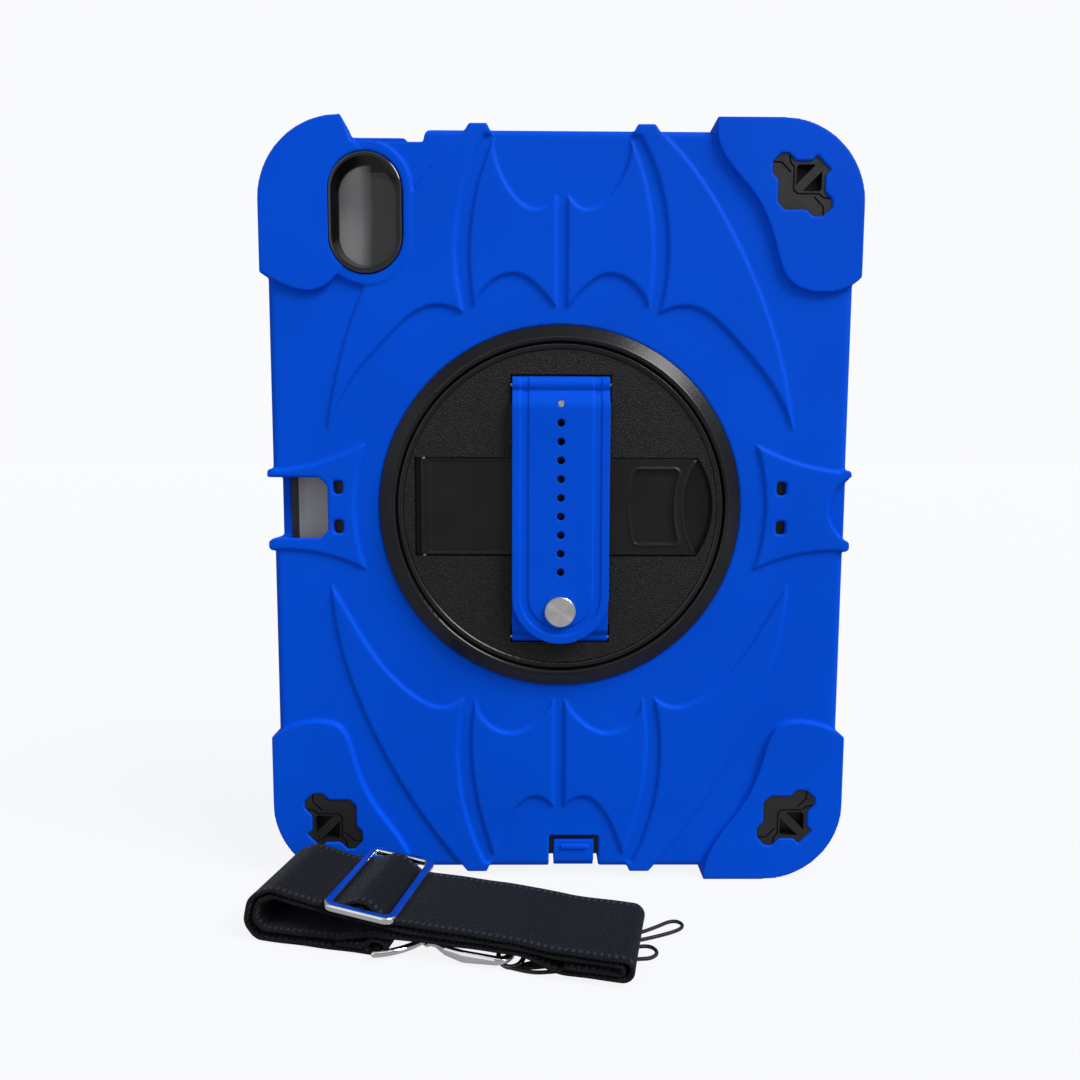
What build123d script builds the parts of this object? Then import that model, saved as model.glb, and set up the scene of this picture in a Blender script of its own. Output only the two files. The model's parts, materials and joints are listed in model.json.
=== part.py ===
"""Rugged tablet case with a turning hand-strap disc, a kickstand and a shoulder strap.

The case stands upright on its two lower corner bumps. Z is up, the back of the case
faces -Y and the screen faces +Y. All sizes are in millimetres.
"""
import math
import os

from build123d import *

os.makedirs("parts", exist_ok=True)

# ------------------------------------------------------------------ driving dimensions
# Case body: height H is measured between the straight top and bottom edges.
BODY_W = 229.0
BODY_H = 295.3
BODY_CORNER_R = 28.0
BUMP_SIDE = 2.4            # corner bumps stand this far out of the sides
BUMP_END = 4.2             # and this far out of the top and bottom
BUMP_CORNER_R = 32.0
BODY_Z0 = BUMP_END
BODY_Z1 = BODY_Z0 + BODY_H
MID_Z = BODY_Z0 + BODY_H / 2
TOP_Z = BODY_Z1 + BUMP_END
BACK_Y = 31.0              # the plane of the case's back

# Layers, as heights above the back plane (negative is into the case).
RELIEF_H = 1.2             # wings and cells
POD_H = 1.6                # round the camera opening
BUMP_H = 2.0               # corner bumps
SLEEVE_BACK = -2.2         # inside of the silicone back wall
SHELL_IN = -4.0            # bay side of the hard back shell
FRAME_BACK = -10.3         # bay side of the front frame
FRAME_FRONT = -12.0
CASE_FRONT = -13.8         # front of the silicone lip
BUMP_FRONT = -14.3

# Tablet bay and the shells around it.
BAY_W, BAY_H, BAY_R = 215.5, 281.3, 18.5
WALL = 2.0
SHELL_W, SHELL_H, SHELL_R = BAY_W + 2 * WALL, BAY_H + 2 * WALL, BAY_R + WALL
SHELL_FIT = 0.1            # the shells are this much smaller than the sleeve's cavity
VIEW_W, VIEW_H, VIEW_R = 209.2, 269.3, 10.0      # clear window of the front frame
LIP_W, LIP_H, LIP_R = 213.0, 273.0, 12.0         # opening of the silicone lip
FILM_T = 0.25

# Camera opening, a pill with its long side upright.
CAM_X, CAM_Z = -75.6, 267.45
CAM_OUT_W, CAM_OUT_H = 28.4, 45.7
CAM_IN_W, CAM_IN_H = 22.0, 38.0
POD_W, POD_L = 35.0, 54.0

# Turning disc.
RING_Z = 154.0
RING_OUT_R = 71.7
RING_CREST_R = 66.3
RING_IN_R = 64.9
RING_TOP = 4.5
DISC_R = 64.6
DISC_FLANGE_R = 67.4
DISC_BOTTOM = -1.9
DISC_RIM_TOP = 3.8
LEATHER_R = 61.9
LEATHER_TOP = 3.2
LEATHER_T = 0.8
SCREW_PCD_R = 69.7
SCREW_COUNT = 6

# Kickstand and its hinge, an upright pin at the left end.
STAND_X = -54.0            # hinge axis
STAND_AXIS_H = 1.3
STAND_T = 3.8
STAND_Z0, STAND_Z1 = 135.7, 173.5
CAVITY_Z0, CAVITY_Z1 = 135.0, 174.2
CAVITY_FLOOR = -0.9
PIN_R = 0.8

# Hand strap: a band on a bar in the upper slot, buttoned to a short keeper in the lower one.
BAND_W = 38.2
BAND_T = 2.8
GROOVE_T = 0.6             # depth of the groove round the band's panel
BAND_PIVOT_Z, BAND_PIVOT_H = 202.4, 1.6
BAND_NECK_Z, BAND_NECK_H = 194.2, 5.4
BAND_END_Z, BAND_END_H = 100.6, 7.0
BAR_R = 0.8
BAR_L = 43.0
SLOT_W = 39.6
UPPER_SLOT = (195.4, 206.4)
LOWER_SLOT = (100.3, 107.5)
KEEPER_PIVOT_Z = 102.3
KEEPER_TOP_Z = 124.0
KEEPER_T = 1.5
KEEPER_H = 4.25            # middle of the keeper's thickness
STUD_Z = 113.5
STUD_R = 6.1
HOLE_R = 1.5
HOLE_PITCH = 7.3
HOLE_LAST_Z = 129.1
HOLE_COUNT = 10

# USB flap, a tongue on the back that folds round the bottom edge.
FLAP_X, FLAP_W, FLAP_TOP = 6.4, 16.5, 16.0
FLAP_GAP = 2.0
FLAP_T = 2.2
FLAP_HINGE_H, FLAP_HINGE_Z = -10.8, 5.4

# Volume buttons in the left side.
BUTTON_Z = {"volume_up_button": 268.0, "volume_down_button": 254.0}
BUTTON_L, BUTTON_T = 11.0, 4.6

# Shoulder strap: a folded bundle on the floor behind the case.
STRAP_X0, STRAP_Y0 = -108.5, BACK_Y - 28.0       # middle of its left fold
STRAP_ANGLE = -12.5
WEB_W, WEB_T = 38.0, 1.5
SLIDE_U, SLIDE_Z, SLIDE_TILT = 43.0, 17.0, -7.0  # middle and slope of the slide
SLIDE_L, SLIDE_W, SLIDE_BAR, SLIDE_T = 27.0, 46.0, 3.0, 2.6
D_RING_U, D_RING_Z, D_RING_R = 49.15, 3.2, 1.2
D_RING_REACH = 16.0
HOOK_Z, HOOK_R = 3.3, 1.3
HOOK_V0, HOOK_V1 = -17.0, -7.2                   # the hook's two long sides
EYE_V, EYE_R, EYE_WIRE_R = -9.0, 2.3, 0.75       # hook's eye round the D-ring
GATE_R = 1.0
LINK_U, LINK_Z, LINK_TILT = 95.5, 3.35, 32.3
LINK_R, LINK_WIRE_R = 4.5, 0.85
CORD_R, CORD_Z = 0.65, 0.85

GAP = 0.3                  # clearance between moving pieces

# Smaller features.
SHELL_Z0 = MID_Z - SHELL_H / 2                   # outside of the shell's bottom wall
REBATE = 2.4                                     # film's overlap under the frame
CAM_TOP, CAM_FUNNEL = 2.3, 21.0                  # ring height, slope of its inside
WINDOW_X, WINDOW_Z0, WINDOW_Z1 = -92.5, 141.7, 165.9
WINDOW_FRONT = -10.0
SCOOP_X, SCOOP_Z, SCOOP_R, SCOOP_FLOOR = 121.3, 153.7, 14.0, -1.4
NOTCH_FRONT = -10.4
FLAP_CUT_FRONT = -12.3
PORT_H, PORT_W, PORT_T = -7.3, 12.5, 5.4
BUTTON_H = -7.15
BUTTON_FLANGE_L, BUTTON_FLANGE_T = 13.4, 5.6
ANCHOR_TOP, ANCHOR_FLOOR = 1.4, -3.4
ANCHOR_POCKET, ANCHOR_POCKET_X = 10.0, 2.4       # its side, and its middle from the centre
ANCHOR_BAR_T, ANCHOR_BAR_W, ANCHOR_BAR_L = 1.8, 3.4, 13.0
ANCHOR_FIT, ANCHOR_GROOVE_W, ANCHOR_GROOVE_T = 0.1, 0.7, 0.8
SCREW_R, SCREW_HEAD_R, SCREW_L = 0.9, 1.8, 4.6
RING_EDGE_H = 0.9                                # foot of the bezel's slope
LIP_UNDER_H, FLANGE_TOP = -0.2, -0.5
PIT_X = 60.3
STAND_END_X = 49.0
PANEL_X0, PANEL_X1, PANEL_EDGE = -51.5, 14.0, 0.8
RIM_W, RIM_H = 1.0, 0.4                          # raised rim of the finger window
PIN_SEAT = 3.0
BAND_EYE_R = 3.4
EDGE_ROLL, GROOVE_W, GROOVE_FOOT_H = 3.2, 3.2, 2.7
SHANK_R = 2.0

# ------------------------------------------------------------------ planes and helpers
BACK = Plane(origin=(0, BACK_Y, 0), x_dir=(1, 0, 0), z_dir=(0, -1, 0))
SIDE = Plane(origin=(0, BACK_Y, 0), x_dir=(0, 0, 1), z_dir=(1, 0, 0))   # local (z, height)
ALONG = Vector(1, 0, 0).rotate(Axis.Z, STRAP_ANGLE)
ACROSS = Vector(0, 1, 0).rotate(Axis.Z, STRAP_ANGLE)
STRAP_ORIGIN = Vector(STRAP_X0, STRAP_Y0, 0)
STRAP = Plane(origin=STRAP_ORIGIN, x_dir=ALONG, z_dir=-ACROSS)          # local (along, up)
STRAP_FLOOR = Plane(origin=STRAP_ORIGIN, x_dir=ALONG, z_dir=(0, 0, 1))  # local (along, across)


def save(part, name):
    """Label a finished piece and write it as one STEP file."""
    part.label = name
    export_step(part, f"parts/{name}.step")


# Outlines of the relief, in back-plane coordinates (x, z), for the right half.
# The raised cell between the middle line and the upper wing:
with BuildSketch() as upper_cell:
    with BuildLine():
        Spline((2.4, 274.2), (11.2, 269.3), (19.5, 275.2), (26.3, 295.0))
        Spline((26.3, 295.0), (33.0, 275.5), (35.5, 256.0), (34.0, 232.8))
        Spline((34.0, 232.8), (27.2, 242.3), (18.0, 245.3), (9.5, 240.6), (2.4, 232.8))
        Line((2.4, 232.8), (2.4, 274.2))
    make_face()

# The raised cell between the middle line and the lower wing:
with BuildSketch() as lower_cell:
    with BuildLine():
        Spline((2.4, 75.4), (9.5, 66.2), (19.8, 61.7), (28.5, 65.0), (34.0, 75.4))
        Spline((34.0, 75.4), (35.5, 52.0), (32.8, 32.0), (26.8, 10.4))
        Spline((26.8, 10.4), (20.0, 26.8), (11.6, 35.0), (2.4, 31.2))
        Line((2.4, 31.2), (2.4, 75.4))
    make_face()

# The long curved wing that runs from the top edge round the disc:
with BuildSketch() as upper_wing:
    with BuildLine():
        Spline((36.5, BODY_Z1), (50.5, 284.8), (67.4, 258.7), (81.9, 226.6), (91.9, 185.9))
        Spline((91.9, 185.9), (83.5, 202.6), (68.2, 220.7), (53.0, 232.4), (38.6, 230.4))
        Spline((38.6, 230.4), (41.6, 251.0), (39.8, 272.0), (28.6, BODY_Z1))
        Line((28.6, BODY_Z1), (36.5, BODY_Z1))
    make_face()

# The long curved wing that runs from the bottom edge round the disc:
with BuildSketch() as lower_wing:
    with BuildLine():
        Spline((91.5, 122.0), (77.0, 97.0), (60.0, 78.0), (49.0, 72.6), (39.0, 76.2))
        Spline((39.0, 76.2), (41.6, 53.0), (37.6, 25.0), (29.4, BODY_Z0))
        Line((29.4, BODY_Z0), (38.6, BODY_Z0))
        Spline((38.6, BODY_Z0), (59.6, 32.8), (77.8, 67.5), (86.6, 92.0), (91.5, 122.0))
    make_face()

# The raised pad at the middle of the side, out to the body's edge:
with BuildSketch() as side_pad:
    with BuildLine():
        Spline((BODY_W / 2, 168.2), (97.0, 171.2), (78.2, 178.8))
        Spline((78.2, 178.8), (82.2, 154.5), (78.2, 129.7))
        Spline((78.2, 129.7), (94.0, 135.5), (BODY_W / 2, 137.2))
        Line((BODY_W / 2, 137.2), (BODY_W / 2, 168.2))
    make_face()

# Zones of the corner bumps: an inner edge, closed outside the corner.
FAR_X = BODY_W / 2 + BUMP_SIDE + 1
with BuildSketch() as upper_corner_zone:
    with BuildLine():
        Spline((59.5, TOP_Z + 1), (60.5, 292.5), (73.5, 275.8), (82.8, 256.5),
               (88.8, 242.6), (98.0, 238.6), (FAR_X, 245.5))
        Polyline((FAR_X, 245.5), (FAR_X, TOP_Z + 1), (59.5, TOP_Z + 1))
    make_face()
with BuildSketch() as lower_corner_zone:
    with BuildLine():
        Spline((60.2, -1), (61.6, 9.5), (75.8, 31.8), (83.8, 51.5),
               (90.0, 65.0), (99.0, 66.8), (FAR_X, 59.5))
        Polyline((FAR_X, 59.5), (FAR_X, -1), (60.2, -1))
    make_face()
# The one beside the camera runs into the camera pod:
with BuildSketch() as camera_corner_zone:
    with BuildLine():
        Spline((-FAR_X, 245.5), (-112.0, 242.3), (-97.5, 238.0), (-88.5, 242.5))
        Polyline((-88.5, 242.5), (-76.0, 256.0), (-76.0, 290.0), (-81.1, 294.4),
                 (-83.0, 300.2), (-85.0, TOP_Z + 1), (-FAR_X, TOP_Z + 1), (-FAR_X, 245.5))
    make_face()


# One strap anchor: a square with three ears, its bare corner pointing down and left.
# Only the half above the diagonal is drawn; the other half mirrors it.
DIAGONAL = Plane(origin=(0, 0, 0), x_dir=(1, 1, 0), z_dir=(-1, 1, 0))
with BuildSketch() as anchor_hole:
    with BuildLine():
        Polyline((-8.15, -8.15), (-9.4, -6.9), (-9.4, 1.7), (-11.9, 4.1), (-11.9, 8.0),
                 (-8.7, 11.6), (-5.7, 11.6), (-2.7, 8.6), (3.3, 8.6), (5.2, 10.85),
                 (8.025, 8.025), close=True)
    make_face()
    mirror(about=DIAGONAL)
with BuildSketch() as anchor_boss:
    add(anchor_hole.sketch)
    offset(amount=-ANCHOR_FIT, kind=Kind.INTERSECTION)
with BuildSketch() as anchor_grooves:
    with BuildLine():
        FilletPolyline((-5.3, 12.0), (-5.1, 8.4), (-3.5, 6.4), (-3.5, -2.0), (-2.75, -2.75),
                       radius=0.8)
    trace(line_width=ANCHOR_GROOVE_W)
    with BuildLine():
        FilletPolyline((-11.5, 8.3), (-8.3, 8.1), (-4.7, 4.5), radius=0.8)
    trace(line_width=ANCHOR_GROOVE_W)
    mirror(about=DIAGONAL)

# Strap anchors sit in three corners; the turn points the middle ear out of the corner.
ANCHORS = [(92.55, 279.05, 0), (94.05, 26.15, -90), (-92.55, 24.65, 180)]

# ------------------------------------------------------------------ silicone sleeve
with BuildPart() as silicone_sleeve:
    with BuildSketch(BACK.offset(CASE_FRONT)):
        with Locations((0, MID_Z)):
            RectangleRounded(BODY_W, BODY_H, BODY_CORNER_R)
    extrude(amount=-CASE_FRONT)
    fillet(silicone_sleeve.faces().sort_by(Axis.Y)[0].edges(), 3.0)
    fillet(silicone_sleeve.faces().sort_by(Axis.Y)[-1].edges(), 1.5)
    # wings, cells and side pads, carried down into the wall
    with BuildSketch(BACK.offset(-3.5)):
        add(upper_cell.sketch)
        add(lower_cell.sketch)
        add(upper_wing.sketch)
        add(lower_wing.sketch)
        add(side_pad.sketch)
        mirror(about=Plane.YZ)
    extrude(amount=3.5 + RELIEF_H)
    # each wing wraps round the top or bottom edge
    with BuildSketch(BACK.offset(CASE_FRONT + 1)):
        with BuildLine():
            Polyline((26.8, 297.0), (28.9, 301.1), (35.8, 301.1), (38.4, 297.0), close=True)
        make_face()
        with BuildLine():
            Polyline((28.0, 6.5), (29.6, 3.0), (37.6, 3.0), (40.2, 6.5), close=True)
        make_face()
        mirror(about=Plane.YZ)
    extrude(amount=-CASE_FRONT - 1 + RELIEF_H)
    # rib ends on both sides
    with BuildSketch(BACK.offset(CASE_FRONT + 1.5)):
        for rib_z in (167.1, 139.0):
            with Locations((BODY_W / 2 - 0.4, rib_z), (-BODY_W / 2 + 0.4, rib_z)):
                RectangleRounded(4.2, 4.6, 1.8)
    extrude(amount=-CASE_FRONT - 1.5 + RELIEF_H)
    # camera pod
    with BuildSketch(BACK.offset(-3.5)):
        with Locations((CAM_X, CAM_Z)):
            SlotOverall(POD_L, POD_W, rotation=90)
    extrude(amount=3.5 + POD_H)
    # corner bumps
    with BuildSketch(BACK.offset(BUMP_FRONT)):
        add(upper_corner_zone.sketch)
        add(lower_corner_zone.sketch)
        add(mirror(lower_corner_zone.sketch, about=Plane.YZ, mode=Mode.PRIVATE))
        add(camera_corner_zone.sketch)
        with Locations((0, MID_Z)):
            RectangleRounded(BODY_W + 2 * BUMP_SIDE, BODY_H + 2 * BUMP_END, BUMP_CORNER_R,
                             mode=Mode.INTERSECT)
    extrude(amount=BUMP_H - BUMP_FRONT)
    # room for the hard shell, and the front opening
    with BuildSketch(BACK.offset(FRAME_FRONT)):
        with Locations((0, MID_Z)):
            RectangleRounded(SHELL_W, SHELL_H, SHELL_R)
    extrude(amount=SLEEVE_BACK - FRAME_FRONT, mode=Mode.SUBTRACT)
    with BuildSketch(BACK.offset(FRAME_FRONT)):
        with Locations((0, MID_Z)):
            RectangleRounded(LIP_W, LIP_H, LIP_R)
    extrude(amount=-5, mode=Mode.SUBTRACT)
    # disc and camera openings through the back wall
    with BuildSketch(BACK.offset(SLEEVE_BACK)):
        with Locations((0, RING_Z)):
            Circle(RING_OUT_R + 0.1)
        with Locations((CAM_X, CAM_Z)):
            SlotOverall(CAM_OUT_H + 0.2, CAM_OUT_W + 0.2, rotation=90)
        for x, z, turn in ANCHORS:
            with Locations(Location((x, z, 0), turn)):
                add(anchor_hole.sketch)
        # two slots in each side pad
        with Locations((88.3, 162.0), (88.3, 146.4), (-88.3, 162.0), (-88.3, 146.4)):
            RectangleRounded(4.0, 5.4, 1.3)
    extrude(amount=8, mode=Mode.SUBTRACT)
    # pencil window in the left side, and the side wall behind it
    with BuildSketch(BACK.offset(WINDOW_FRONT)):
        with BuildLine():
            Polyline((-BODY_W, WINDOW_Z0), (-BODY_W, WINDOW_Z1), (WINDOW_X - 3.2, WINDOW_Z1),
                     (WINDOW_X, WINDOW_Z1 - 3.2), (WINDOW_X, WINDOW_Z0 + 3.2),
                     (WINDOW_X - 3.2, WINDOW_Z0), close=True)
        make_face()
    extrude(amount=-WINDOW_FRONT + 3, mode=Mode.SUBTRACT)
    # the front part of that wall steps in
    with BuildSketch(BACK.offset(BUMP_FRONT)):
        with Locations((-BODY_W / 2 - 3.8, (WINDOW_Z0 + WINDOW_Z1) / 2)):
            Rectangle(10.0, WINDOW_Z1 - WINDOW_Z0)
    extrude(amount=20, mode=Mode.SUBTRACT)
    # thumb scoop in the right side pad
    with BuildSketch(BACK.offset(SCOOP_FLOOR)):
        with Locations((SCOOP_X, SCOOP_Z)):
            Circle(SCOOP_R)
    extrude(amount=5, mode=Mode.SUBTRACT)
    # notch over the tablet's top button: the front lip stays, lower at its right end
    with BuildSketch(BACK.offset(NOTCH_FRONT)):
        with BuildLine():
            Polyline((-81.1, 294.4), (-84.5, TOP_Z + 2), (-51.5, TOP_Z + 2), (-53.4, 294.4),
                     close=True)
        make_face()
    extrude(amount=-NOTCH_FRONT + 3, mode=Mode.SUBTRACT)
    with BuildSketch(BACK.offset(BUMP_FRONT)):
        with BuildLine():
            Polyline((-63.2, 300.5), (-60.0, 297.4), (-52.9, 297.4), (-51.0, 300.5), close=True)
        make_face()
    extrude(amount=20, mode=Mode.SUBTRACT)
    # gap round the USB flap, through the back wall and the bottom wall
    with BuildSketch(BACK.offset(FLAP_CUT_FRONT)):
        with Locations((FLAP_X, 0)):
            Rectangle(FLAP_W + 2 * FLAP_GAP, SHELL_Z0, align=(Align.CENTER, Align.MIN))
    extrude(amount=-FLAP_CUT_FRONT + 3, mode=Mode.SUBTRACT)
    with BuildSketch(BACK.offset(SLEEVE_BACK)):
        with Locations((FLAP_X, 0)):
            Rectangle(FLAP_W + 2 * FLAP_GAP, FLAP_TOP + FLAP_GAP, align=(Align.CENTER, Align.MIN))
    extrude(amount=5, mode=Mode.SUBTRACT)
    # holes for the volume buttons
    with BuildSketch(SIDE.offset(-BODY_W / 2 - 6)):
        for z in BUTTON_Z.values():
            with Locations((z, BUTTON_H)):
                SlotOverall(BUTTON_L + 2 * GAP, BUTTON_T + 2 * GAP)
    extrude(amount=12, mode=Mode.SUBTRACT)
save(silicone_sleeve.part, "silicone_sleeve")

# ------------------------------------------------------------------ hard shells
with BuildPart() as back_shell:
    with BuildSketch(BACK.offset(FRAME_BACK)):
        with Locations((0, MID_Z)):
            RectangleRounded(SHELL_W - SHELL_FIT, SHELL_H - SHELL_FIT, SHELL_R - SHELL_FIT / 2)
    extrude(amount=SLEEVE_BACK - FRAME_BACK)
    with BuildSketch(BACK.offset(FRAME_BACK)):
        with Locations((0, MID_Z)):
            RectangleRounded(BAY_W, BAY_H, BAY_R)
    extrude(amount=SHELL_IN - FRAME_BACK, mode=Mode.SUBTRACT)
    # strap anchors: bosses that fill the sleeve's openings
    for x, z, turn in ANCHORS:
        with BuildSketch(BACK.offset(SLEEVE_BACK)):
            with Locations(Location((x, z, 0), turn)):
                add(anchor_boss.sketch)
        extrude(amount=ANCHOR_TOP - SLEEVE_BACK)
    # each has a pocket crossed by a diagonal bar, open below it
    for x, z, turn in ANCHORS:
        with BuildSketch(BACK.offset(ANCHOR_FLOOR)):
            with Locations(Location((x, z, 0), turn)):
                with Locations((ANCHOR_POCKET_X, ANCHOR_POCKET_X)):
                    RectangleRounded(ANCHOR_POCKET, ANCHOR_POCKET, 1.5)
        extrude(amount=8, mode=Mode.SUBTRACT)
        with BuildSketch(BACK.offset(ANCHOR_TOP - ANCHOR_BAR_T)):
            with Locations(Location((x, z, 0), turn)):
                with Locations((ANCHOR_POCKET_X, ANCHOR_POCKET_X)):
                    Rectangle(ANCHOR_BAR_L, ANCHOR_BAR_W, rotation=45)
        extrude(amount=ANCHOR_BAR_T)
        # grooves that follow the pocket and cut off the two outer ears
        with BuildSketch(BACK.offset(ANCHOR_TOP - ANCHOR_GROOVE_T)):
            with Locations(Location((x, z, 0), turn)):
                add(anchor_grooves.sketch)
        extrude(amount=2, mode=Mode.SUBTRACT)
    # camera opening, pencil window and top button notch
    with BuildSketch(BACK.offset(SHELL_IN - 1)):
        with Locations((CAM_X, CAM_Z)):
            SlotOverall(CAM_IN_H + 2.2, CAM_IN_W + 2.2, rotation=90)
    extrude(amount=4, mode=Mode.SUBTRACT)
    with BuildSketch(BACK.offset(FRAME_BACK)):
        with Locations((-BODY_W / 2, (WINDOW_Z0 + WINDOW_Z1) / 2)):
            Rectangle(2 * (WINDOW_X + BODY_W / 2) + 1, WINDOW_Z1 - WINDOW_Z0 + 1)
    extrude(amount=10, mode=Mode.SUBTRACT)
    with BuildSketch(BACK.offset(FRAME_BACK)):
        with Locations((-66.8, 296.0)):
            Rectangle(25.0, 8.0)
    extrude(amount=SHELL_IN - FRAME_BACK, mode=Mode.SUBTRACT)
    # USB port opening in the bottom wall
    with BuildSketch(Plane.XY.offset(SHELL_Z0 - 1)):
        with Locations((FLAP_X, BACK_Y - PORT_H)):
            SlotOverall(PORT_W, PORT_T)
    extrude(amount=4, mode=Mode.SUBTRACT)
    # openings for the volume buttons' flanges
    with BuildSketch(SIDE.offset(-BODY_W / 2)):
        for z in BUTTON_Z.values():
            with Locations((z, BUTTON_H)):
                Rectangle(BUTTON_FLANGE_L + 2 * GAP, BUTTON_FLANGE_T + 2 * GAP)
    extrude(amount=10, mode=Mode.SUBTRACT)
    # countersunk holes for the disc's screws
    with Locations(Plane(origin=(0, BACK_Y - SHELL_IN, RING_Z), x_dir=(1, 0, 0), z_dir=(0, 1, 0))):
        with PolarLocations(SCREW_PCD_R, SCREW_COUNT, start_angle=30):
            CounterSinkHole(SCREW_R + 0.1, SCREW_HEAD_R + 0.1, depth=2, counter_sink_angle=90)
save(back_shell.part, "back_shell")

with BuildPart() as front_frame:
    with BuildSketch(BACK.offset(FRAME_FRONT)):
        with Locations((0, MID_Z)):
            RectangleRounded(SHELL_W - SHELL_FIT, SHELL_H - SHELL_FIT, SHELL_R - SHELL_FIT / 2)
            RectangleRounded(VIEW_W, VIEW_H, VIEW_R, mode=Mode.SUBTRACT)
    extrude(amount=FRAME_BACK - FRAME_FRONT)
    # rebate for the film
    with BuildSketch(BACK.offset(FRAME_BACK)):
        with Locations((0, MID_Z)):
            RectangleRounded(VIEW_W + 2 * REBATE, VIEW_H + 2 * REBATE, VIEW_R + REBATE)
    extrude(amount=-FILM_T - 0.05, mode=Mode.SUBTRACT)
save(front_frame.part, "front_frame")

with BuildPart() as screen_film:
    with BuildSketch(BACK.offset(FRAME_BACK - FILM_T - 0.05)):
        with Locations((0, MID_Z)):
            RectangleRounded(VIEW_W + 2 * REBATE - 0.4, VIEW_H + 2 * REBATE - 0.4, VIEW_R + REBATE)
    extrude(amount=FILM_T)
save(screen_film.part, "screen_film")

with BuildPart() as camera_ring:
    with BuildSketch(BACK.offset(SLEEVE_BACK)):
        with Locations((CAM_X, CAM_Z)):
            SlotOverall(CAM_OUT_H, CAM_OUT_W, rotation=90)
    extrude(amount=CAM_TOP - SLEEVE_BACK)
    fillet(camera_ring.faces().sort_by(Axis.Y)[0].edges(), 0.9)
    with BuildSketch(BACK.offset(SHELL_IN)):
        with Locations((CAM_X, CAM_Z)):
            SlotOverall(CAM_IN_H + 2, CAM_IN_W + 2, rotation=90)
    extrude(amount=SLEEVE_BACK - SHELL_IN)
    with BuildSketch(BACK.offset(SHELL_IN)):
        with Locations((CAM_X, CAM_Z)):
            SlotOverall(CAM_IN_H, CAM_IN_W, rotation=90)
    extrude(amount=1.2, mode=Mode.SUBTRACT)
    with BuildSketch(BACK.offset(SHELL_IN + 1.2)):
        with Locations((CAM_X, CAM_Z)):
            SlotOverall(CAM_IN_H, CAM_IN_W, rotation=90)
    extrude(amount=CAM_TOP - SHELL_IN, taper=-CAM_FUNNEL, mode=Mode.SUBTRACT)
save(camera_ring.part, "camera_ring")

# ------------------------------------------------------------------ turning disc
DISC_AXIS = Axis((0, BACK_Y, RING_Z), (0, -1, 0))
RADIAL = Plane(origin=(0, BACK_Y, RING_Z), x_dir=(1, 0, 0), z_dir=(0, 0, -1))   # (radius, height)

with BuildPart() as disc_bezel:
    with BuildSketch(RADIAL):
        with BuildLine():
            Polyline((RING_OUT_R, SLEEVE_BACK), (RING_OUT_R, RING_EDGE_H), (RING_CREST_R + 0.6, RING_TOP))
            ThreePointArc((RING_CREST_R + 0.6, RING_TOP), (RING_CREST_R - 0.5, RING_TOP + 0.15),
                          (RING_IN_R, RING_TOP - 0.9))
            Polyline((RING_IN_R, RING_TOP - 0.9), (RING_IN_R, LIP_UNDER_H),
                     (DISC_FLANGE_R + GAP, LIP_UNDER_H), (DISC_FLANGE_R + GAP, SLEEVE_BACK),
                     (RING_OUT_R, SLEEVE_BACK))
        make_face()
    revolve(axis=DISC_AXIS)
    with Locations(Plane(origin=(0, BACK_Y - SLEEVE_BACK, RING_Z), x_dir=(1, 0, 0), z_dir=(0, 1, 0))):
        with PolarLocations(SCREW_PCD_R, SCREW_COUNT, start_angle=30):
            Hole(SCREW_R, depth=3.4)
save(disc_bezel.part, "disc_bezel")

with BuildPart() as bezel_screws:
    with Locations(Plane(origin=(0, BACK_Y - SHELL_IN, RING_Z), x_dir=(1, 0, 0), z_dir=(0, -1, 0))):
        with PolarLocations(SCREW_PCD_R, SCREW_COUNT, start_angle=30):
            Cone(SCREW_HEAD_R, SCREW_R, SCREW_HEAD_R - SCREW_R, align=(Align.CENTER, Align.CENTER, Align.MIN))
            Cylinder(SCREW_R - 0.02, SCREW_L, align=(Align.CENTER, Align.CENTER, Align.MIN))
            Cylinder(0.8, 0.6, align=(Align.CENTER, Align.CENTER, Align.MIN), mode=Mode.SUBTRACT)
save(bezel_screws.part, "bezel_screws")

with BuildPart() as glide_washer:
    with BuildSketch(BACK.offset(SLEEVE_BACK)):
        with Locations((0, RING_Z)):
            Circle(DISC_FLANGE_R - 0.2)
            Circle(DISC_FLANGE_R - 6.0, mode=Mode.SUBTRACT)
    extrude(amount=DISC_BOTTOM - SLEEVE_BACK)
save(glide_washer.part, "glide_washer")

# cavity for the kickstand, with a finger pit past its free end
with BuildSketch() as stand_cavity:
    with BuildLine():
        Line((54.0, CAVITY_Z0), (STAND_X - 3.6, CAVITY_Z0))
        Line((STAND_X - 3.6, CAVITY_Z0), (STAND_X - 3.6, CAVITY_Z1))
        Line((STAND_X - 3.6, CAVITY_Z1), (54.0, CAVITY_Z1))
        ThreePointArc((54.0, CAVITY_Z1), (PIT_X, (CAVITY_Z0 + CAVITY_Z1) / 2), (54.0, CAVITY_Z0))
    make_face()
with BuildSketch() as strap_slots:
    for low, high in (UPPER_SLOT, LOWER_SLOT):
        with Locations((0, (low + high) / 2)):
            Rectangle(SLOT_W, high - low)

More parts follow.
